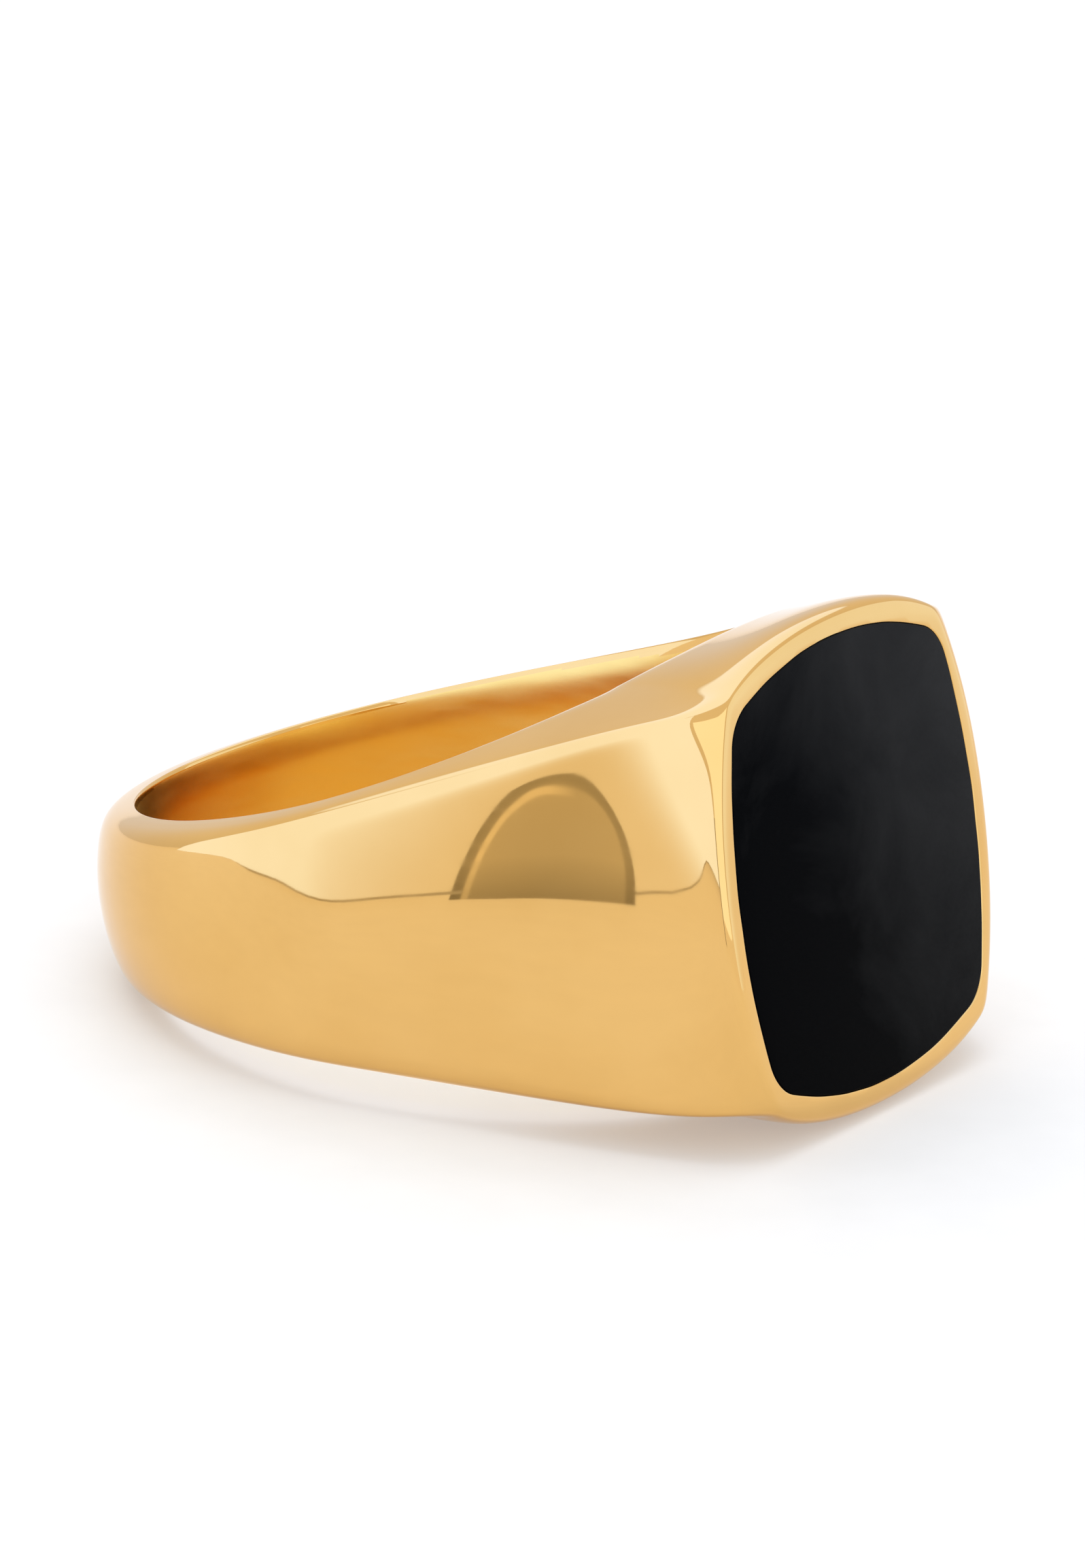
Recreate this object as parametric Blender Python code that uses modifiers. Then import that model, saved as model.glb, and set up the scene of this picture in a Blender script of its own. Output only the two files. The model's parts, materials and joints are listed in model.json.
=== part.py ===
"""Signet ring: a cast gold-plated body with a flush black onyx tablet cemented into its head.

The ring is modelled in its own frame, in metres: the finger axis is local Z, the head points
to local -Y and the centre of the finger hole is the origin. An empty then lays it on its side
the way it rests on a table, on the head's lower edge and the back of the shank, with the
bottom centre of its box at the world origin.
"""
import math

import bmesh
import bpy
from mathutils import Matrix, Vector

MM = 0.001

# Driving dimensions of the finger hole and the head
BORE_RADIUS = 9.9 * MM
BORE_EDGE = 0.5 * MM            # reach of the soft edge where the bore meets the side
HEAD_HEIGHT = 13.65 * MM        # centre of the bore to the flat face
FACE_HALF_X = 7.25 * MM         # half size of the face around the finger
FACE_HALF_Z = 7.55 * MM         # half size of the face along the finger
FACE_BOW_X = 1.2 * MM           # how much narrower the face is at its long edges
FACE_BOW_Z = 0.8 * MM
CORNER_PULL = 0.4 * MM          # extra rounding of the face's corners
FACE_EDGE = 0.85 * MM           # reach of the soft edge around the face
SIDE_SWELL = 1.6 * MM           # extra half width of the bore's wall under the middle of the head
SIDE_SWELL_POWER = 0.9
SIDE_BELLY = 0.1 * MM           # how far the head's sides stand out between bore and face

# Driving dimensions of the shank
SIDE_RADIUS = 11.7 * MM         # outer radius a quarter turn from the head
BACK_RADIUS = 11.8 * MM         # outer radius opposite the head
SHOULDER_BULGE = 0.2 * MM       # how far the shoulder stands out from a straight taper
BACK_HALF_WIDTH = 2.27 * MM
HEAD_HALF_WIDTH = 6.65 * MM
WIDTH_POWER = 1.7               # the shank widens slowly at first, then faster to the head
BACK_CROWN = 0.4 * MM           # crown of the outer face at the back, and at the head
HEAD_CROWN = 0.15 * MM
BACK_EDGE = 0.95 * MM           # reach of the outer edge's rounding at the back, and at the head
HEAD_EDGE = 0.65 * MM
SHOULDER_PULL = 0.6 * MM        # how far the shoulder draws in where it meets the face's corner
SHOULDER_PULL_POWER = 12
EDGE_LIMIT = 0.4                # the rounding never takes more than this share of the thickness

# Driving dimensions of the stone, its cement and its seat
STONE_HALF_X = 6.45 * MM
STONE_HALF_Z = 6.75 * MM
STONE_SIDE_ARC = 19.2 * MM      # arcs of the cushion outline: long sides, ends and corners
STONE_END_ARC = 13.75 * MM
STONE_CORNER_ARC = 1.6 * MM
STONE_THICKNESS = 1.2 * MM
STONE_CHAMFER = 0.06 * MM
CEMENT_THICKNESS = 0.15 * MM
CEMENT_INSET = 0.5 * MM
FIT_GAP = 0.06 * MM             # clearance between two pieces that touch
SEAT_DEPTH = STONE_THICKNESS + CEMENT_THICKNESS + 2 * FIT_GAP

# Columns of the cage: over half the face, down one shoulder, and round to the back
FACE_COLUMNS = (0.0, 0.35, 0.7, 0.92, 1.0)
SHOULDER_COLUMNS = (0.045, 0.13, 0.26, 0.42, 0.6, 0.8, 1.0)
BACK_ANGLES = tuple(math.radians(a) for a in (112, 135, 157, 180))
SMOOTHING = 1                   # subdivision levels of the cage
ARC_STEPS = 8                   # straight steps in each arc of the stone's outline

GOLD = {"color": (0.83, 0.60, 0.29), "roughness": 0.12, "metallic": 1.0}
ONYX = {"color": (0.011, 0.011, 0.012), "roughness": 0.35, "metallic": 0.0}
CEMENT = {"color": (0.80, 0.77, 0.66), "roughness": 0.45, "metallic": 0.0}


def mix(start, end, share):
    return start + (end - start) * share


def clear_scene():
    for obj in list(bpy.data.objects):
        bpy.data.objects.remove(obj, do_unlink=True)


def make_collection(name):
    collection = bpy.data.collections.new(name)
    bpy.context.scene.collection.children.link(collection)
    return collection


def make_material(name, look):
    material = bpy.data.materials.new(name)
    material.use_nodes = True
    shader = material.node_tree.nodes["Principled BSDF"]
    shader.inputs["Base Color"].default_value = (*look["color"], 1.0)
    shader.inputs["Roughness"].default_value = look["roughness"]
    shader.inputs["Metallic"].default_value = look["metallic"]
    return material


# --- The body's cage: one quarter of a closed band, mirrored and smoothed --------------------


def polar(radius, angle, z):
    """Point at a radius from the finger axis, with the angle counted from the head."""
    return Vector((radius * math.sin(angle), -radius * math.cos(angle), z))


def face_point(u, v):
    """Point of the flat face: u runs from its middle to its side, v to its long edge."""
    pull = CORNER_PULL * (u * v) ** 4
    x = u * (FACE_HALF_X - FACE_BOW_X * v ** 2 - pull)
    z = v * (FACE_HALF_Z - FACE_BOW_Z * u ** 2 - pull)
    return Vector((x, -HEAD_HEIGHT, z))


def shoulder_point(share):
    """Outer point of the shoulder, from the face's side (0) to a quarter turn (1)."""
    run = SIDE_RADIUS - FACE_HALF_X
    swell = SHOULDER_BULGE * math.sin(math.pi * share) * HEAD_HEIGHT / math.hypot(HEAD_HEIGHT, run)
    return Vector((FACE_HALF_X + run * share + swell, -HEAD_HEIGHT * (1 - share), 0))


def cage_columns():
    """(u on the face or None, angle from the head, outer radius) of each column."""
    face_angle = math.atan2(FACE_HALF_X, HEAD_HEIGHT)
    columns = [(u, u * face_angle, None) for u in FACE_COLUMNS]
    for share in SHOULDER_COLUMNS:
        point = shoulder_point(share)
        columns.append((None, math.atan2(point.x, -point.y), point.length))
    for angle in BACK_ANGLES:
        columns.append((None, angle, mix(SIDE_RADIUS, BACK_RADIUS, math.cos(angle) ** 2)))
    return columns


def wall_radii(angles):
    """Cage radii that bring the smoothed bore back to BORE_RADIUS at every column."""
    before = [-angles[1]] + angles[:-1]
    after = angles[1:] + [2 * math.pi - angles[-2]]
    return [
        BORE_RADIUS * 6 / (4 + math.cos(angle - low) + math.cos(high - angle))
        for low, angle, high in zip(before, angles, after)
    ]


def head_share(y):
    """How far a point is from the back of the ring (0) to the face (1)."""
    return min(1, max(0, (BACK_RADIUS - y) / (BACK_RADIUS + HEAD_HEIGHT)))


def half_width(y):
    """Half the width of the shank, along the finger."""
    return mix(BACK_HALF_WIDTH, HEAD_HALF_WIDTH, head_share(y) ** WIDTH_POWER)


def bore_rows(wall, angle):
    """The four points along the bore's wall, from the middle of the band to its edge."""
    place = polar(BORE_RADIUS, angle, 0)
    swell = SIDE_SWELL * head_share(place.y) ** SIDE_SWELL_POWER
    edge = half_width(place.y) + swell * (1 - (place.x / SIDE_RADIUS) ** 2)
    return [polar(wall, angle, z) for z in (0, edge / 2, edge - BORE_EDGE / 2, edge)]


def head_column(u, angle, wall):
    """One column under the face: the bore's wall, the head's side, and the flat face."""
    rows = bore_rows(wall, angle)
    inner = rows[-1]
    rim = face_point(u, 1)
    rows.append(mix(inner, rim, 0.22))
    rows.append(mix(inner, rim, 0.6) + Vector((0, 0, SIDE_BELLY)))
    rows.append(rim + Vector((0, FACE_EDGE, 0)))
    rows.append(rim)
    rows.extend(face_point(u, v) for v in (1 - FACE_EDGE / FACE_HALF_Z, 0.5, 0))
    return rows


def shank_column(angle, outer, wall):
    """One column of the shank: the bore's wall, the side, and the crowned outer face."""
    place = polar(outer, angle, 0)
    share = head_share(place.y)
    width = half_width(place.y) - SHOULDER_PULL * share ** SHOULDER_PULL_POWER
    crown = mix(BACK_CROWN, HEAD_CROWN, share)
    edge = mix(BACK_EDGE, HEAD_EDGE, share)
    rim = outer - crown
    below_rim = rim - min(edge, EDGE_LIMIT * (rim - wall))
    rows = bore_rows(wall, angle)
    inner_edge = rows[-1].z
    rows.append(polar(mix(wall, below_rim, 0.3), angle, mix(inner_edge, width, 0.45)))
    rows.append(polar(mix(wall, below_rim, 0.65), angle, mix(inner_edge, width, 0.8)))
    rows.append(polar(below_rim, angle, width))
    rows.append(polar(rim, angle, width))
    for z in (width - edge, (width - edge) / 2, 0):
        rows.append(polar(outer - crown * (z / width) ** 2, angle, z))
    return rows


def body_cage():
    """The quarter cage as rows of points, from the head to the back."""
    columns = cage_columns()
    walls = wall_radii([angle for _, angle, _ in columns])
    cage = []
    for (u, angle, outer), wall in zip(columns, walls):
        if u is None:
            cage.append(shank_column(angle, outer, wall))
        else:
            cage.append(head_column(u, angle, wall))
    return cage


def grid_mesh(name, grid):
    """An open quad mesh through a grid of points, seen from its outer side."""
    bm = bmesh.new()
    verts = [[bm.verts.new(point) for point in line] for line in grid]
    for line, following in zip(verts, verts[1:]):
        for near, far in zip(range(len(line) - 1), range(1, len(line))):
            bm.faces.new((line[near], line[far], following[far], following[near]))
    mesh = bpy.data.meshes.new(name)
    bm.to_mesh(mesh)
    bm.free()
    return mesh


# --- The stone's outline: a cushion of eight arcs that meet without a corner ------------------


def corner_centre():
    """Centre of the corner arc, which touches the side arc and the end arc from inside."""
    side = Vector((STONE_HALF_X - STONE_SIDE_ARC, 0))
    end = Vector((0, STONE_HALF_Z - STONE_END_ARC))
    side_reach = STONE_SIDE_ARC - STONE_CORNER_ARC
    end_reach = STONE_END_ARC - STONE_CORNER_ARC
    span = end - side
    along = (side_reach ** 2 - end_reach ** 2 + span.length_squared) / (2 * span.length)
    across = math.sqrt(side_reach ** 2 - along ** 2)
    direction = span.normalized()
    return side + direction * along + Vector((-direction.y, direction.x)) * across


def arc(centre, radius, start, end):
    return [
        centre + radius * Vector((math.cos(angle), math.sin(angle)))
        for angle in (mix(start, end, step / ARC_STEPS) for step in range(ARC_STEPS + 1))
    ]


def cushion_outline(offset):
    """Closed outline of the stone, moved outward everywhere by the offset."""
    side = Vector((STONE_HALF_X - STONE_SIDE_ARC, 0))
    end = Vector((0, STONE_HALF_Z - STONE_END_ARC))
    corner = corner_centre()
    side_angle = math.atan2(corner.y - side.y, corner.x - side.x)
    end_angle = math.atan2(corner.y - end.y, corner.x - end.x)
    quarter = arc(side, STONE_SIDE_ARC + offset, 0, side_angle)
    quarter += arc(corner, STONE_CORNER_ARC + offset, side_angle, end_angle)[1:]
    quarter += arc(end, STONE_END_ARC + offset, end_angle, math.pi / 2)[1:]
    half = quarter + [Vector((-p.x, p.y)) for p in reversed(quarter[:-1])]
    return half + [Vector((p.x, -p.y)) for p in reversed(half[1:-1])]


def tablet_mesh(name, offset, front, back):
    """A flat cushion-shaped solid that faces -Y, between two heights above the bore's centre."""
    outline = cushion_outline(offset)
    curve = bpy.data.curves.new(name, "CURVE")
    curve.dimensions = "2D"
    curve.fill_mode = "BOTH"
    curve.extrude = (front - back) / 2
    spline = curve.splines.new("POLY")
    spline.points.add(len(outline) - 1)
    for point, place in zip(spline.points, outline):
        point.co = (place.x, place.y, 0, 1)
    spline.use_cyclic_u = True
    drawn = bpy.data.objects.new(name + "_outline", curve)
    bpy.context.scene.collection.objects.link(drawn)
    depsgraph = bpy.context.evaluated_depsgraph_get()
    mesh = bpy.data.meshes.new_from_object(drawn.evaluated_get(depsgraph))
    bpy.data.objects.remove(drawn, do_unlink=True)
    stand_up = Matrix.Rotation(math.radians(90), 4, "X")
    to_place = Matrix.Translation((0, -(front + back) / 2, 0)) @ stand_up
    bm = bmesh.new()
    bm.from_mesh(mesh)
    bmesh.ops.remove_doubles(bm, verts=bm.verts, dist=0.001 * MM)
    bmesh.ops.dissolve_limit(bm, angle_limit=math.radians(0.5), verts=bm.verts, edges=bm.edges)
    bmesh.ops.transform(bm, matrix=to_place, verts=bm.verts)
    bmesh.ops.recalc_face_normals(bm, faces=bm.faces)
    bm.to_mesh(mesh)
    bm.free()
    mesh.name = name
    return mesh


# --- The pieces -------------------------------------------------------------------------------


def add_piece(name, mesh, collection, parent, material=None):
    piece = bpy.data.objects.new(name, mesh)
    collection.objects.link(piece)
    piece.parent = parent
    if material:
        mesh.materials.clear()
        mesh.materials.append(material)
    return piece


def make_seat_cutter(collection, parent):
    """The pocket for the stone: its open end stands clear of the face."""
    above_face = HEAD_HEIGHT + 1 * MM
    mesh = tablet_mesh("seat_cutter", FIT_GAP, above_face, HEAD_HEIGHT - SEAT_DEPTH)
    cutter = add_piece("seat_cutter", mesh, collection, parent)
    cutter.hide_render = True
    cutter.display_type = "WIRE"
    return cutter


def make_body(collection, parent, cutter):
    mesh = grid_mesh("ring_body", body_cage())
    body = add_piece("ring_body", mesh, collection, parent, make_material("gold", GOLD))
    mirror = body.modifiers.new("four_quarters", "MIRROR")
    mirror.use_axis = (True, False, True)
    mirror.merge_threshold = 0.001 * MM
    smooth = body.modifiers.new("soft_form", "SUBSURF")
    smooth.levels = SMOOTHING
    smooth.render_levels = SMOOTHING
    cut = body.modifiers.new("stone_seat", "BOOLEAN")
    cut.operation = "DIFFERENCE"
    cut.object = cutter
    mesh.shade_smooth()
    return body


def make_stone(collection, parent):
    front = HEAD_HEIGHT
    mesh = tablet_mesh("onyx_inlay", 0, front, front - STONE_THICKNESS)
    stone = add_piece("onyx_inlay", mesh, collection, parent, make_material("onyx", ONYX))
    chamfer = stone.modifiers.new("ground_edge", "BEVEL")
    chamfer.width = STONE_CHAMFER
    chamfer.segments = 1
    chamfer.limit_method = "ANGLE"
    return stone


def make_cement(collection, parent):
    front = HEAD_HEIGHT - STONE_THICKNESS - FIT_GAP
    mesh = tablet_mesh("cement_bed", -CEMENT_INSET, front, front - CEMENT_THICKNESS)
    return add_piece("cement_bed", mesh, collection, parent, make_material("cement", CEMENT))


# --- Laying the ring on its side --------------------------------------------------------------


def side_profile(body):
    """The finished body's points, seen along X, in the ring's own frame."""
    bpy.context.view_layer.update()
    evaluated = body.evaluated_get(bpy.context.evaluated_depsgraph_get())
    mesh = evaluated.to_mesh()
    points = sorted((v.co.y, v.co.z) for v in mesh.vertices)
    evaluated.to_mesh_clear()
    return points


def lower_hull(points):
    """The lower side of the points' convex outline, from low y to high y."""
    hull = []
    for y, z in points:
        while len(hull) > 1:
            (y0, z0), (y1, z1) = hull[-2:]
            if (y1 - y0) * (z - z0) - (z1 - z0) * (y - y0) > 0:
                break
            hull.pop()
        hull.append((y, z))
    return hull


def resting_tilt(points):
    """Turn about X that lays the ring's longest lower edge, head to back, level."""
    hull = lower_hull(points)
    (y0, z0), (y1, z1) = max(zip(hull, hull[1:]), key=lambda edge: edge[1][0] - edge[0][0])
    return -math.atan2(z1 - z0, y1 - y0)


def lay_down(frame, body):
    points = side_profile(body)
    tilt = resting_tilt(points)
    turn = Matrix.Rotation(tilt, 2)
    turned = [turn @ Vector(point) for point in points]
    low_y, high_y = min(p.x for p in turned), max(p.x for p in turned)
    frame.rotation_euler.x = tilt
    frame.location = (0, -(low_y + high_y) / 2, -min(p.y for p in turned))


def main():
    clear_scene()
    parts = make_collection("signet_ring")
    cutters = make_collection("cutters")
    frame = bpy.data.objects.new("ring_frame", None)
    parts.objects.link(frame)
    cutter = make_seat_cutter(cutters, frame)
    body = make_body(parts, frame, cutter)
    make_stone(parts, frame)
    make_cement(parts, frame)
    lay_down(frame, body)
    bpy.context.view_layer.update()


main()
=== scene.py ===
"""Looks of the signet ring: polished gold body, flush satin onyx, and a plain pale studio."""

import json
import math

import bmesh
import bpy
from mathutils import Matrix, Vector, noise


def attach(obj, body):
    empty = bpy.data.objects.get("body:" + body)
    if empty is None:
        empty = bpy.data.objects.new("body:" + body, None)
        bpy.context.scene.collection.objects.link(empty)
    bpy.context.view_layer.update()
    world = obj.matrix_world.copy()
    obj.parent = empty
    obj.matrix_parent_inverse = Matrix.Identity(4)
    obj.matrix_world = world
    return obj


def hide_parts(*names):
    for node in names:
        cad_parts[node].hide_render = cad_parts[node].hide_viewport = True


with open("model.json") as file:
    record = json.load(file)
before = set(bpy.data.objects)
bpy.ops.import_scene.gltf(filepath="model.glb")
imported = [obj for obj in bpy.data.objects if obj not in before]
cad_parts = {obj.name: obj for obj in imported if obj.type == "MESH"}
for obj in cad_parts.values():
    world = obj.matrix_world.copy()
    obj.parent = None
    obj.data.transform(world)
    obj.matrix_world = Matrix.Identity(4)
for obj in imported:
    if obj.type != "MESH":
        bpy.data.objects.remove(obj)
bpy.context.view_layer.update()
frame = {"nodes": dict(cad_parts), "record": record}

MM = 0.001

# The ring's shape: the CAD body's driving dimensions, with edge roundings a little nearer the real ring
BORE_RADIUS = 9.9 * MM
BORE_EDGE = 0.9 * MM
BORE_FLARE = 0.12 * MM
HEAD_HEIGHT = 13.65 * MM
FACE_HALF_X = 7.25 * MM
FACE_HALF_Z = 7.55 * MM
FACE_BOW_X = 1.2 * MM
FACE_BOW_Z = 0.8 * MM
CORNER_PULL = 0.4 * MM
FACE_EDGE = 0.85 * MM
SIDE_SWELL = 1.6 * MM
SIDE_SWELL_POWER = 0.9
SIDE_BELLY = 0.1 * MM
SIDE_RADIUS = 11.7 * MM
BACK_RADIUS = 11.8 * MM
SHOULDER_BULGE = 0.2 * MM
BACK_HALF_WIDTH = 2.27 * MM
HEAD_HALF_WIDTH = 6.65 * MM
WIDTH_POWER = 1.7
BACK_CROWN = 0.4 * MM
HEAD_CROWN = 0.15 * MM
BACK_EDGE = 1.25 * MM
HEAD_EDGE = 0.38 * MM
SHOULDER_PULL = 0.6 * MM
SHOULDER_PULL_POWER = 12
EDGE_LIMIT = 0.55                # most of the wall's thickness that the outer edge may take
TOP_DOME = 1.4                   # power by which the band between bore and rim is domed
TOP_STEPS = (0.35, 0.7, 1)       # where the cage crosses that band
FACE_BOW_CARRIED = 0.6           # how much of the face's bow the shoulder's edge takes on
HEAD_SIDE_STEPS = (0.22, 0.6)    # where the cage crosses the head's side, from bore to face
FACE_FOLLOW = 0.2                # share of the shoulder over which that bow fades out
STONE_HALF_X = 6.45 * MM
STONE_HALF_Z = 6.75 * MM
STONE_SIDE_ARC = 19.2 * MM
STONE_END_ARC = 13.75 * MM
STONE_CORNER_ARC = 1.6 * MM
STONE_THICKNESS = 1.2 * MM
SEAT_DEPTH = 1.47 * MM
FACE_COLUMNS = (0.0, 0.35, 0.7, 0.93, 1.0)
SHOULDER_COLUMNS = (0.04, 0.12, 0.25, 0.42, 0.6, 0.8, 1.0)
BACK_ANGLES = tuple(math.radians(a) for a in (112, 135, 157, 180))

# What the looks add to it
BORE_MARGIN = 1.01              # how far past the bore's radius a face may lie and still be satin
BORE_FACING = -0.98             # and how squarely it has to face the finger axis
SMOOTHING = 3                   # subdivision levels of the cage
ARC_STEPS = 24                  # straight steps in each arc of the stone's outline
STONE_GAP = 0.012 * MM          # what is left of the joint once stone and rim are polished together
SEAT_ARRIS = 0.05 * MM          # rounding of the gold's edge around the stone
STONE_ARRIS = 0.04 * MM
HAND_WOBBLE = 0.018 * MM        # unevenness of the hand-fitted outline

# Camera, in the row frame
CAMERA_AZIMUTH = -57.8
CAMERA_ELEVATION = 19.54
CAMERA_ROLL = 3.8
CAMERA_DISTANCE = 0.42
FIELD_HEIGHT = 47.07 * MM       # what the picture's long side spans at the ring
AIM_RIGHT = 1.94 * MM           # the picture's centre, counted from the centre of the bore
AIM_UP = 1.9 * MM
SENSOR = 36

# Studio cards, in millimetres in the row frame. Their places were tuned with the help of traced
# reflections, until the highlights on the ring looked like the real ones.
WHITE = (1.05, 1.08, 1.15)
PALE = (1.28, 1.62, 2.6)        # bluish, so that gold reflects it as a pale highlight
ROOF_HEIGHT = 150
SOFTBOX_CORNER = (-44.5, -57)
FRONT_CORNER = (-41.5, -59.5)
STOP_SQUARENESS = 3.3
DISC_STEPS = 96

# The softbox wall beside the ring
SOFTBOX_BACK = 110
SOFTBOX_FRONT = -50
SOFTBOX_HEIGHT = 150
SOFTBOX_X = -48
SOFTBOX_SLANT = 0.15            # how far the wall leans away from the ring towards the front
SOFTBOX_BACK_X = -37            # where it stands once it has turned in
SOFTBOX_TURN = 12
SOFTBOX_TURN_RUN = 16
SOFTBOX_SILL = 0.6              # gap under it beside the ring
SOFTBOX_LIFT = 9                # and how much more there is near the stone
SOFTBOX_LIFT_START = -14
SOFTBOX_LIFT_RUN = 18
SOFTBOX_STEPS = 64

# Brightness of the dome behind everything
HORIZON_GLOW = 0.84
ZENITH_GLOW = 0.96


def mix(start, end, share):
    return start + (end - start) * share


def ring_placement():
    """Matrix from the ring's own frame to the row frame, read from the record's two mounts."""
    mounts = {mount["name"]: mount for mount in frame["record"]["mounts"]}
    finger = Vector(mounts["finger_hole"]["axis"]).normalized()
    inward = -Vector(mounts["stone_face"]["axis"]).normalized()
    turn = Matrix((inward.cross(finger), inward, finger)).transposed().to_4x4()
    return Matrix.Translation(mounts["finger_hole"]["pos_m"]) @ turn


PLACEMENT = ring_placement()


# --- The gold body ----------------------------------------------------------------------------


def polar(radius, angle, z):
    return Vector((radius * math.sin(angle), -radius * math.cos(angle), z))


def face_point(u, v):
    """Point of the flat face: u runs from its middle to its side, v to its long edge."""
    pull = CORNER_PULL * (u * v) ** 4
    x = u * (FACE_HALF_X - FACE_BOW_X * v ** 2 - pull)
    z = v * (FACE_HALF_Z - FACE_BOW_Z * u ** 2 - pull)
    return Vector((x, -HEAD_HEIGHT, z))


def shoulder_point(share):
    """Outer point of the shoulder, from the face's side (0) to a quarter turn (1)."""
    run = SIDE_RADIUS - FACE_HALF_X
    swell = SHOULDER_BULGE * math.sin(math.pi * share) * HEAD_HEIGHT / math.hypot(HEAD_HEIGHT, run)
    return Vector((FACE_HALF_X + run * share + swell, -HEAD_HEIGHT * (1 - share), 0))


def cage_columns():
    """(u on the face or None, angle from the head, outer radius, edge pull) of each column."""
    face_angle = math.atan2(FACE_HALF_X, HEAD_HEIGHT)
    columns = [(u, u * face_angle, None, None) for u in FACE_COLUMNS]
    for share in SHOULDER_COLUMNS:
        point = shoulder_point(share)
        pull = FACE_BOW_CARRIED * FACE_BOW_X * max(0, 1 - share / FACE_FOLLOW) ** 2
        columns.append((None, math.atan2(point.x, -point.y), point.length, pull))
    for angle in BACK_ANGLES:
        columns.append((None, angle, mix(SIDE_RADIUS, BACK_RADIUS, math.cos(angle) ** 2), 0))
    return columns


def wall_radii(angles):
    """Cage radii that bring the smoothed bore back to BORE_RADIUS at every column."""
    before = [-angles[1]] + angles[:-1]
    after = angles[1:] + [2 * math.pi - angles[-2]]
    return [
        BORE_RADIUS * 6 / (4 + math.cos(angle - low) + math.cos(high - angle))
        for low, angle, high in zip(before, angles, after)
    ]


def head_share(y):
    """How far a point is from the back of the ring (0) to the face (1)."""
    return min(1, max(0, (BACK_RADIUS - y) / (BACK_RADIUS + HEAD_HEIGHT)))


def half_width(y):
    return mix(BACK_HALF_WIDTH, HEAD_HALF_WIDTH, head_share(y) ** WIDTH_POWER)


def bore_rows(wall, angle):
    """The four points along the bore's wall, from the middle of the band to its edge."""
    place = polar(BORE_RADIUS, angle, 0)
    swell = SIDE_SWELL * head_share(place.y) ** SIDE_SWELL_POWER
    edge = half_width(place.y) + swell * (1 - (place.x / SIDE_RADIUS) ** 2)
    rows = [polar(wall, angle, z) for z in (0, edge / 2, edge - BORE_EDGE)]
    rows.append(polar(wall + BORE_FLARE, angle, edge))
    return rows


def head_column(u, angle, wall):
    """One column under the face: the bore's wall, the head's side, and the flat face."""
    rows = bore_rows(wall, angle)
    inner = rows[-1]
    rim = face_point(u, 1)
    near, far = HEAD_SIDE_STEPS
    rows.append(mix(inner, rim, near))
    rows.append(mix(inner, rim, far) + Vector((0, 0, SIDE_BELLY)))
    rows.append(rim + Vector((0, FACE_EDGE, 0)))
    rows.append(rim)
    rows.extend(face_point(u, v) for v in (1 - FACE_EDGE / FACE_HALF_Z, 0.5, 0))
    return rows


def shank_column(angle, outer, pull, wall):
    """One column of the shank: the bore's wall, the side, and the crowned outer face."""
    place = polar(outer, angle, 0)
    share = head_share(place.y)
    width = half_width(place.y) - SHOULDER_PULL * share ** SHOULDER_PULL_POWER
    crown = mix(BACK_CROWN, HEAD_CROWN, share)
    edge = mix(BACK_EDGE, HEAD_EDGE, share)
    rim = outer - crown
    below_rim = rim - min(edge, EDGE_LIMIT * (rim - wall))
    rows = bore_rows(wall, angle)
    inner_edge = rows[-1].z
    inward = Vector((-pull, 0, 0))
    for step in TOP_STEPS:
        radius = mix(wall, below_rim, step)
        across = (radius - wall) / (rim - wall)
        z = mix(inner_edge, width, across ** TOP_DOME)
        rows.append(polar(radius, angle, z) + across ** 2 * inward)
    rows.append(polar(rim, angle, width) + inward)
    for z in (width - edge, (width - edge) / 2, 0):
        bow = (z / width) ** 2
        rows.append(polar(outer - crown * bow, angle, z) + bow * inward)
    return rows


def body_cage():
    columns = cage_columns()
    walls = wall_radii([angle for _, angle, _, _ in columns])
    cage = []
    for (u, angle, outer, pull), wall in zip(columns, walls):
        if u is None:
            cage.append(shank_column(angle, outer, pull, wall))
        else:
            cage.append(head_column(u, angle, wall))
    return cage


def grid_mesh(name, grid):
    """An open quad mesh through a grid of points, seen from its outer side."""
    bm = bmesh.new()
    verts = [[bm.verts.new(point) for point in line] for line in grid]
    for line, following in zip(verts, verts[1:]):
        for near, far in zip(range(len(line) - 1), range(1, len(line))):
            bm.faces.new((line[near], line[far], following[far], following[near]))
    mesh = bpy.data.meshes.new(name)
    bm.to_mesh(mesh)
    bm.free()
    return mesh


# --- The cushion outline of the stone and its seat --------------------------------------------


def corner_centre():
    """Centre of the corner arc, which touches the side arc and the end arc from inside."""
    side = Vector((STONE_HALF_X - STONE_SIDE_ARC, 0))
    end = Vector((0, STONE_HALF_Z - STONE_END_ARC))
    side_reach = STONE_SIDE_ARC - STONE_CORNER_ARC
    end_reach = STONE_END_ARC - STONE_CORNER_ARC
    span = end - side
    along = (side_reach ** 2 - end_reach ** 2 + span.length_squared) / (2 * span.length)
    across = math.sqrt(side_reach ** 2 - along ** 2)
    direction = span.normalized()
    return side + direction * along + Vector((-direction.y, direction.x)) * across


def arc(centre, radius, start, end):
    return [
        centre + radius * Vector((math.cos(angle), math.sin(angle)))
        for angle in (mix(start, end, step / ARC_STEPS) for step in range(ARC_STEPS + 1))
    ]


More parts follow.
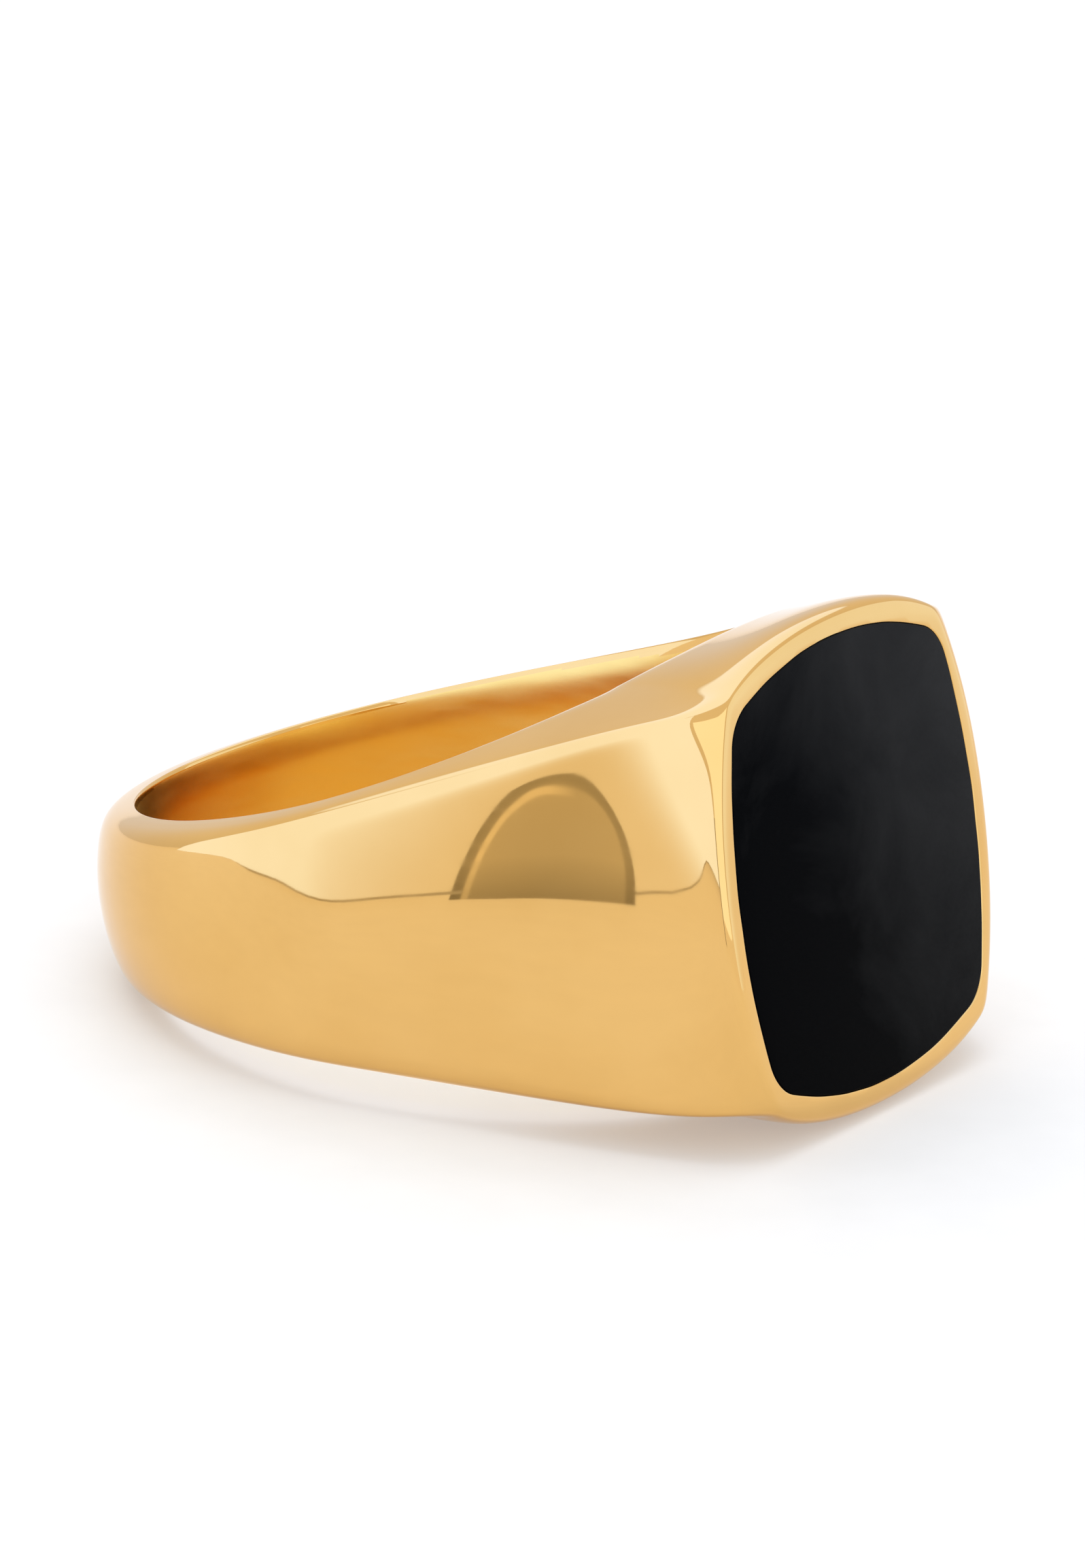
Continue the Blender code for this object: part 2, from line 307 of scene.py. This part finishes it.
def cushion_outline(offset):
    """Closed outline of the stone, moved outward everywhere by the offset."""
    side = Vector((STONE_HALF_X - STONE_SIDE_ARC, 0))
    end = Vector((0, STONE_HALF_Z - STONE_END_ARC))
    corner = corner_centre()
    side_angle = math.atan2(corner.y - side.y, corner.x - side.x)
    end_angle = math.atan2(corner.y - end.y, corner.x - end.x)
    quarter = arc(side, STONE_SIDE_ARC + offset, 0, side_angle)
    quarter += arc(corner, STONE_CORNER_ARC + offset, side_angle, end_angle)[1:]
    quarter += arc(end, STONE_END_ARC + offset, end_angle, math.pi / 2)[1:]
    half = quarter + [Vector((-p.x, p.y)) for p in reversed(quarter[:-1])]
    return half + [Vector((p.x, -p.y)) for p in reversed(half[1:-1])]


def hand_fitted(point):
    """The outline's point, moved in or out a little, as hand fitting leaves it."""
    spread = noise.noise(Vector((point.x, point.y, 0)) / (1.1 * MM))
    return point + point.normalized() * (HAND_WOBBLE * spread)


def outline_stack(name, layers):
    """A closed solid through cushion outlines, given as (height above the bore, offset)."""
    bm = bmesh.new()
    rings = []
    for height, offset in layers:
        places = [hand_fitted(point) for point in cushion_outline(offset)]
        rings.append([bm.verts.new((place.x, -height, place.y)) for place in places])
    for low, high in zip(rings, rings[1:]):
        for a, b in zip(range(len(low)), range(-1, len(low) - 1)):
            bm.faces.new((low[a], low[b], high[b], high[a]))
    bm.faces.new(rings[0])
    bm.faces.new(reversed(rings[-1]))
    bmesh.ops.recalc_face_normals(bm, faces=bm.faces)
    mesh = bpy.data.meshes.new(name)
    bm.to_mesh(mesh)
    bm.free()
    return mesh


def arris(radius, steps=4):
    """(depth, inset) pairs round a quarter circle, from the flat top down to the wall."""
    for step in range(steps + 1):
        angle = math.pi / 2 * step / steps
        yield radius * (1 - math.cos(angle)), radius * (1 - math.sin(angle))


# --- Materials --------------------------------------------------------------------------------


class Shader:
    """A material's node tree, with short calls for the nodes used here."""

    def __init__(self, name):
        self.material = bpy.data.materials.new(name)
        self.material.use_nodes = True
        self.tree = self.material.node_tree
        self.surface = self.tree.nodes["Principled BSDF"]

    def node(self, kind, **settings):
        made = self.tree.nodes.new(kind)
        for key, value in settings.items():
            setattr(made, key, value)
        return made

    def link(self, source, target):
        self.tree.links.new(source, target)

    def place(self, scale):
        """Object coordinates, scaled to one unit for each 1 / scale metres."""
        coordinates = self.node("ShaderNodeTexCoord")
        mapping = self.node("ShaderNodeMapping")
        mapping.inputs["Scale"].default_value = (scale,) * 3 if isinstance(scale, (int, float)) else scale
        self.link(coordinates.outputs["Object"], mapping.inputs["Vector"])
        return mapping.outputs["Vector"]

    def noise(self, scale, detail=3.0, roughness=0.5, distortion=0.0):
        made = self.node("ShaderNodeTexNoise")
        made.inputs["Scale"].default_value = 1.0
        made.inputs["Detail"].default_value = detail
        made.inputs["Roughness"].default_value = roughness
        made.inputs["Distortion"].default_value = distortion
        self.link(self.place(scale), made.inputs["Vector"])
        return made.outputs["Fac"]

    def ramp(self, value, low, high, start, end):
        """Maps a value from low..high to start..end."""
        made = self.node("ShaderNodeMapRange")
        made.inputs["From Min"].default_value = low
        made.inputs["From Max"].default_value = high
        made.inputs["To Min"].default_value = start
        made.inputs["To Max"].default_value = end
        self.link(value, made.inputs["Value"])
        return made.outputs["Result"]

    def blend(self, share, first, second):
        """A colour between two others."""
        made = self.node("ShaderNodeMix", data_type="RGBA")
        made.inputs["A"].default_value = (*first, 1)
        made.inputs["B"].default_value = (*second, 1)
        self.link(share, made.inputs["Factor"])
        return made.outputs["Result"]

    def add(self, first, second):
        made = self.node("ShaderNodeMath", operation="ADD")
        self.link(first, made.inputs[0])
        self.link(second, made.inputs[1])
        return made.outputs["Value"]

    def bump(self, height, distance, strength):
        made = self.node("ShaderNodeBump")
        made.inputs["Distance"].default_value = distance
        made.inputs["Strength"].default_value = strength
        self.link(height, made.inputs["Height"])
        self.link(made.outputs["Normal"], self.surface.inputs["Normal"])


def gold_material(name, dark, light, smooth, rough):
    """Polished gold plate: slight tone changes, soft polish marks and a faint hand waviness."""
    shader = Shader(name)
    surface = shader.surface
    surface.inputs["Metallic"].default_value = 1.0
    tone = shader.ramp(shader.noise(180, detail=4), 0.35, 0.65, 0, 1)
    shader.link(shader.blend(tone, dark, light), surface.inputs["Base Color"])
    marks = shader.noise((500, 500, 2500), detail=2)
    shader.link(shader.ramp(marks, 0.3, 0.7, smooth, rough), surface.inputs["Roughness"])
    wave = shader.noise(260, detail=2)
    shader.bump(wave, 0.02 * MM, 0.15)
    return shader.material


def onyx_material():
    """Satin black stone with a faint grey cloudiness, a painted reflection that makes it paler towards
    one side and the top, and a ground grain.
    """
    shader = Shader("satin_onyx")
    surface = shader.surface
    surface.inputs["Specular IOR Level"].default_value = 0.012
    cloud = shader.noise(230, detail=5, roughness=0.6, distortion=0.5)
    # Painted reflection: a straight rise in paleness across the stone towards one side and the top, mixed
    # below with the stone's real cloudiness.
    painted_reflection_gradient = shader.node("ShaderNodeVectorMath", operation="DOT_PRODUCT")
    painted_reflection_gradient.inputs[1].default_value = Vector((0.9, 0, 0.7)) / (12 * MM)
    coordinates = shader.node("ShaderNodeTexCoord")
    shader.link(coordinates.outputs["Object"], painted_reflection_gradient.inputs[0])
    share = shader.ramp(shader.add(cloud, painted_reflection_gradient.outputs["Value"]), 0.7, 1.7, 0, 1)
    tone = shader.blend(share, (0.0002, 0.0002, 0.0003), (0.024, 0.024, 0.0245))
    shader.link(tone, surface.inputs["Base Color"])
    grain = shader.noise(9000, detail=3)
    shader.link(shader.ramp(grain, 0.3, 0.7, 0.36, 0.48), surface.inputs["Roughness"])
    shader.bump(grain, 0.002 * MM, 0.3)
    return shader.material


def cement_material():
    """Cured epoxy, slightly mottled."""
    shader = Shader("epoxy_film")
    shader.surface.inputs["Roughness"].default_value = 0.4
    mottle = shader.ramp(shader.noise(1500), 0.3, 0.7, 0, 1)
    tone = shader.blend(mottle, (0.72, 0.68, 0.55), (0.84, 0.80, 0.68))
    shader.link(tone, shader.surface.inputs["Base Color"])
    return shader.material


def floor_material():
    shader = Shader("white_table")
    shader.surface.inputs["Roughness"].default_value = 0.6
    shader.surface.inputs["Specular IOR Level"].default_value = 0.2
    shader.surface.inputs["Emission Color"].default_value = (1, 1, 1, 1)
    shader.surface.inputs["Emission Strength"].default_value = 0.3
    tone = shader.ramp(shader.noise(400), 0.3, 0.7, 0, 1)
    color = shader.blend(tone, (0.60, 0.60, 0.60), (0.62, 0.62, 0.62))
    shader.link(color, shader.surface.inputs["Base Color"])
    return shader.material


def glow_material(name, strength, color=(1, 1, 1)):
    material = bpy.data.materials.new(name)
    material.use_nodes = True
    tree = material.node_tree
    tree.nodes.remove(tree.nodes["Principled BSDF"])
    glow = tree.nodes.new("ShaderNodeEmission")
    glow.inputs["Color"].default_value = (*color, 1)
    glow.inputs["Strength"].default_value = strength
    tree.links.new(glow.outputs["Emission"], tree.nodes["Material Output"].inputs["Surface"])
    return material


# --- The pieces -------------------------------------------------------------------------------


def add_object(name, mesh, material=None):
    made = bpy.data.objects.new(name, mesh)
    bpy.context.scene.collection.objects.link(made)
    if material:
        mesh.materials.clear()
        mesh.materials.append(material)
    return made


def baked_mesh(obj):
    """The object's mesh with its modifiers applied."""
    bpy.context.view_layer.update()
    return bpy.data.meshes.new_from_object(obj.evaluated_get(bpy.context.evaluated_depsgraph_get()))


def shade(mesh, sharp_angle):
    mesh.shade_smooth()
    mesh.set_sharp_from_angle(angle=math.radians(sharp_angle))


def in_bore(face):
    """Whether a face of the body belongs to the straight wall of the finger hole."""
    outward = Vector((face.center.x, face.center.y))
    facing = outward.normalized().dot(face.normal.to_2d())
    return outward.length < BORE_RADIUS * BORE_MARGIN and facing < BORE_FACING


def make_body():
    """The casting: the smoothed cage, with the seat cut into its flat face."""
    rough = add_object("ring_body_form", grid_mesh("ring_body_form", body_cage()))
    mirror = rough.modifiers.new("four_quarters", "MIRROR")
    mirror.use_axis = (True, False, True)
    mirror.merge_threshold = 0.001 * MM
    smooth = rough.modifiers.new("soft_form", "SUBSURF")
    smooth.levels = SMOOTHING
    smooth.render_levels = SMOOTHING
    layers = [(HEAD_HEIGHT - SEAT_DEPTH, STONE_GAP)]
    edge = [(HEAD_HEIGHT - depth, STONE_GAP + inset) for depth, inset in arris(SEAT_ARRIS)]
    layers += reversed(edge)
    layers.append((HEAD_HEIGHT + 1 * MM, STONE_GAP + SEAT_ARRIS))
    cutter = add_object("seat_cutter", outline_stack("seat_cutter", layers))
    cut = rough.modifiers.new("stone_seat", "BOOLEAN")
    cut.operation = "DIFFERENCE"
    cut.object = cutter
    mesh = baked_mesh(rough)
    for scrap in (rough, cutter):
        bpy.data.objects.remove(scrap, do_unlink=True)
    shade(mesh, 28)
    mesh.materials.clear()
    tones = (0.75, 0.442, 0.138), (0.79, 0.478, 0.160)
    mesh.materials.append(gold_material("polished_gold", *tones, 0.02, 0.04))
    # The bore's gold is a brighter, paler copy of the same gold: painted light that lifts the shaded
    # hollow of the ring; only its satin roughness is real.
    bore_tones_with_painted_light = (0.81, 0.512, 0.137), (0.85, 0.552, 0.162)
    mesh.materials.append(gold_material("satin_gold_bore_painted_light", *bore_tones_with_painted_light, 0.18, 0.24))
    for face in mesh.polygons:
        face.material_index = int(in_bore(face))
    mesh.transform(PLACEMENT)
    body = add_object("gold_ring", mesh)
    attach(body, "root")
    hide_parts("ring_body")


def make_stone():
    edge = [(HEAD_HEIGHT - depth, -inset) for depth, inset in arris(STONE_ARRIS)]
    layers = [(HEAD_HEIGHT - STONE_THICKNESS, 0)] + list(reversed(edge))
    mesh = outline_stack("onyx_tablet", layers)
    shade(mesh, 35)
    mesh.transform(PLACEMENT)
    stone = add_object("onyx_tablet", mesh, onyx_material())
    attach(stone, "root")
    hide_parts("onyx_inlay")


def dress_cement():
    """The cement keeps its CAD solid, which the stone hides, and only gets its finish."""
    mesh = frame["nodes"]["cement_bed"].data
    mesh.materials.clear()
    mesh.materials.append(cement_material())


# --- The studio -------------------------------------------------------------------------------


def make_floor():
    bpy.ops.mesh.primitive_plane_add(size=4, location=(0, 0, 0))
    floor = bpy.context.object
    floor.name = "white_table"
    floor.data.materials.append(floor_material())


def unseen(card):
    """Leaves a stage piece to reflections only."""
    card.visible_camera = False
    card.visible_diffuse = False
    card.visible_shadow = False


def wall_card(name, foot, height, material):
    """An upright glowing card with the given lower edge and height, seen by reflections only."""
    bm = bmesh.new()
    low = [bm.verts.new((x * MM, y * MM, z * MM)) for x, y, z in foot]
    high = [bm.verts.new((x * MM, y * MM, (z + height) * MM)) for x, y, z in foot]
    for near, far in zip(range(len(foot) - 1), range(1, len(foot))):
        bm.faces.new((low[near], low[far], high[far], high[near]))
    mesh = bpy.data.meshes.new(name)
    bm.to_mesh(mesh)
    bm.free()
    card = add_object(name, mesh, material)
    unseen(card)


def disc_card(name, centre, size, tilt, material, squareness=2):
    """A glowing disc, or a squarer one, seen by reflections only."""
    bm = bmesh.new()
    rim = []
    for step in range(DISC_STEPS):
        angle = 2 * math.pi * step / DISC_STEPS
        across, along = math.cos(angle), math.sin(angle)
        reach = (abs(across) ** squareness + abs(along) ** squareness) ** (-1 / squareness)
        rim.append(bm.verts.new((across * reach * MM, along * reach * MM, 0)))
    bm.faces.new(rim)
    mesh = bpy.data.meshes.new(name)
    bm.to_mesh(mesh)
    bm.free()
    card = add_object(name, mesh, material)
    card.location = [value * MM for value in centre]
    card.rotation_euler = (0, math.radians(tilt), 0)
    card.scale = (*size, 1)
    unseen(card)


def softbox_material(name, centre, near, far, inner, outer):
    """A glow that passes from one tint around a point to another further out."""
    material = glow_material(name, 1.0)
    tree = material.node_tree
    place = tree.nodes.new("ShaderNodeTexCoord")
    reach = tree.nodes.new("ShaderNodeVectorMath")
    reach.operation = "DISTANCE"
    reach.inputs[1].default_value = [value * MM for value in centre]
    rise = tree.nodes.new("ShaderNodeMapRange")
    rise.interpolation_type = "SMOOTHSTEP"
    rise.inputs["From Min"].default_value = near * MM
    rise.inputs["From Max"].default_value = far * MM
    tint = tree.nodes.new("ShaderNodeMix")
    tint.data_type = "RGBA"
    tint.inputs["A"].default_value = (*inner, 1)
    tint.inputs["B"].default_value = (*outer, 1)
    tree.links.new(place.outputs["Object"], reach.inputs[0])
    tree.links.new(reach.outputs["Value"], rise.inputs["Value"])
    tree.links.new(rise.outputs["Result"], tint.inputs["Factor"])
    tree.links.new(tint.outputs["Result"], tree.nodes["Emission"].inputs["Color"])
    return material


def stop_material(squareness):
    """The round stop: a grey middle, a thin dark rim and, on one side, a pale crescent between them."""
    material = glow_material("round_stop", 1.0)
    tree = material.node_tree

    def result(operation, first, second):
        made = tree.nodes.new("ShaderNodeMath")
        made.operation = operation
        for socket, value in zip(made.inputs, (first, second)):
            if isinstance(value, (int, float)):
                socket.default_value = value
            else:
                tree.links.new(value, socket)
        return made.outputs["Value"]

    def bands(tones):
        made = tree.nodes.new("ShaderNodeValToRGB")
        while len(made.color_ramp.elements) < len(tones):
            made.color_ramp.elements.new(0.5)
        for element, (position, tone) in zip(made.color_ramp.elements, tones):
            element.position = position
            element.color = (tone, tone * 0.96, tone * 0.84, 1)
        tree.links.new(reach, made.inputs["Fac"])
        return made.outputs["Color"]

    def span(value, low, high, start, end):
        made = tree.nodes.new("ShaderNodeMapRange")
        for name, bound in zip(("From Min", "From Max", "To Min", "To Max"), (low, high, start, end)):
            made.inputs[name].default_value = bound
        tree.links.new(value, made.inputs["Value"])
        return made.outputs["Result"]

    place = tree.nodes.new("ShaderNodeTexCoord")
    split = tree.nodes.new("ShaderNodeSeparateXYZ")
    tree.links.new(place.outputs["Object"], split.inputs["Vector"])
    powers = []
    for axis in ("X", "Y"):
        size = result("ABSOLUTE", result("DIVIDE", split.outputs[axis], MM), 0)
        powers.append(result("POWER", size, squareness))
    reach = result("POWER", result("ADD", *powers), 1 / squareness)
    crescent = tree.nodes.new("ShaderNodeMix")
    crescent.data_type = "RGBA"
    plain = bands([(0, 0.64), (0.87, 0.70), (0.90, 0.50), (1, 0.44)])
    pale = bands([(0, 0.64), (0.80, 0.70), (0.82, 1.05), (0.87, 1.05), (0.89, 0.50), (1, 0.44)])
    tree.links.new(plain, crescent.inputs["A"])
    tree.links.new(pale, crescent.inputs["B"])
    tree.links.new(span(split.outputs["Y"], -0.2 * MM, 0.2 * MM, 0, 1), crescent.inputs["Factor"])
    glow = tree.nodes["Emission"].inputs
    tree.links.new(crescent.outputs["Result"], glow["Color"])
    tree.links.new(span(split.outputs["X"], -0.3 * MM, 0.2 * MM, 1.0, 0.62), glow["Strength"])
    return material


def make_world():
    """A pale dome, a little darker towards the horizon."""
    world = bpy.data.worlds.new("studio")
    bpy.context.scene.world = world
    world.use_nodes = True
    tree = world.node_tree
    background = tree.nodes["Background"]
    direction = tree.nodes.new("ShaderNodeTexCoord")
    split = tree.nodes.new("ShaderNodeSeparateXYZ")
    rise = tree.nodes.new("ShaderNodeMapRange")
    rise.inputs["From Min"].default_value = 0.0
    rise.inputs["From Max"].default_value = 0.5
    rise.inputs["To Min"].default_value = HORIZON_GLOW
    rise.inputs["To Max"].default_value = ZENITH_GLOW
    tree.links.new(direction.outputs["Generated"], split.inputs["Vector"])
    tree.links.new(split.outputs["Z"], rise.inputs["Value"])
    tree.links.new(rise.outputs["Result"], background.inputs["Strength"])
    background.inputs["Color"].default_value = (1, 1, 1, 1)


def eased(value):
    """0 below 0, 1 above 1, and a smooth rise between them."""
    value = min(max(value, 0), 1)
    return value * value * (3 - 2 * value)


def softbox_foot():
    """The foot of the wall beside the ring: it turns in at the back and lifts near the stone."""
    foot = []
    for step in range(SOFTBOX_STEPS + 1):
        y = mix(SOFTBOX_BACK, SOFTBOX_FRONT, step / SOFTBOX_STEPS)
        turn = eased((y - SOFTBOX_TURN) / SOFTBOX_TURN_RUN)
        lift = eased((SOFTBOX_LIFT_START - y) / SOFTBOX_LIFT_RUN)
        x = mix(SOFTBOX_X + SOFTBOX_SLANT * y, SOFTBOX_BACK_X, turn)
        foot.append(Vector((x, y, SOFTBOX_SILL * (1 - turn) + SOFTBOX_LIFT * lift)))
    foot.append(Vector((*SOFTBOX_CORNER, SOFTBOX_SILL + SOFTBOX_LIFT)))
    return foot


def make_lamp():
    """The lamp for the floor's soft shadow; reflections see the cards instead."""
    light = bpy.data.lights.new("overhead_softbox", "AREA")
    light.shape = "RECTANGLE"
    light.size = 0.5
    light.size_y = 0.5
    light.energy = 1.2
    lamp = bpy.data.objects.new("overhead_softbox", light)
    bpy.context.scene.collection.objects.link(lamp)
    lamp.location = (0.05, 0.1, 0.6)
    lamp.visible_glossy = False


def make_side_cards():
    """The wall beside the ring, its shadowed lower edge, and the round stop in front of it."""
    edge = softbox_foot()
    glow = softbox_material("left_softbox", (-50, -11, 1), 6, 20, WHITE, PALE)
    wall_card("left_softbox", edge, SOFTBOX_HEIGHT, glow)
    lip = [(x + 0.3, y, z - 0.2) for x, y, z in edge]
    wall_card("left_softbox_lip", lip, 0.22, glow_material("left_softbox_lip", 0.55))
    stop = stop_material(STOP_SQUARENESS)
    disc_card("round_stop", (-48.5, -9.7, 0.9), (5.9, 4.9), 90, stop, STOP_SQUARENESS)


def make_front_cards():
    """The two walls before the stone, and the narrow dark gap between the first and the side wall."""
    gap = [(*SOFTBOX_CORNER, 0), (*FRONT_CORNER, 0)]
    wall_card("corner_gap", gap, 22, glow_material("corner_gap", 0.5))
    front = [(*FRONT_CORNER, 5), (-15, -68, 5), (9, -68, 5)]
    wall_card("front_softbox", front, 40, glow_material("front_softbox", 1.0, (1.35, 1.55, 1.9)))
    right = [(20, -75, 0), (75, -30, 0)]
    glow = softbox_material("right_softbox", (48, -52, -30), 31, 45, WHITE, (1.15, 1.35, 1.75))
    wall_card("right_softbox", right, 40, glow)


def make_flat_cards():
    """The roof over the ring, and the fill that stands for the pale table seen through the bore."""
    glow = softbox_material("overhead_card", (0, 0, 0), 0.9, 1, PALE, (0.92, 0.92, 0.92))
    disc_card("overhead_card", (75, 40, ROOF_HEIGHT), (160, 150), 0, glow)
    disc_card("bore_fill", (0, 0.7, 0.05), (9.4, 9.4), 0, glow_material("bore_fill", 1.1))


def make_camera():
    azimuth = math.radians(CAMERA_AZIMUTH)
    elevation = math.radians(CAMERA_ELEVATION)
    roll = math.radians(CAMERA_ROLL)
    flat = math.cos(elevation)
    back = Vector((math.sin(azimuth) * flat, -math.cos(azimuth) * flat, math.sin(elevation)))
    level = Vector((0, 0, 1)).cross(back).normalized()
    upright = back.cross(level)
    right = level * math.cos(roll) + upright * math.sin(roll)
    up = upright * math.cos(roll) - level * math.sin(roll)
    data = bpy.data.cameras.new("camera")
    data.sensor_width = SENSOR
    data.lens = SENSOR * CAMERA_DISTANCE / FIELD_HEIGHT
    data.clip_start = 0.01
    camera = bpy.data.objects.new("camera", data)
    bpy.context.scene.collection.objects.link(camera)
    aim = PLACEMENT.translation + right * AIM_RIGHT + up * AIM_UP
    turn = Matrix((right, up, back)).transposed().to_4x4()
    camera.matrix_world = Matrix.Translation(aim + back * CAMERA_DISTANCE) @ turn
    bpy.context.scene.camera = camera


make_camera()
make_body()
make_stone()
dress_cement()
make_floor()
make_world()
make_lamp()
make_side_cards()
make_front_cards()
make_flat_cards()
bpy.context.scene.view_settings.view_transform = "Standard"
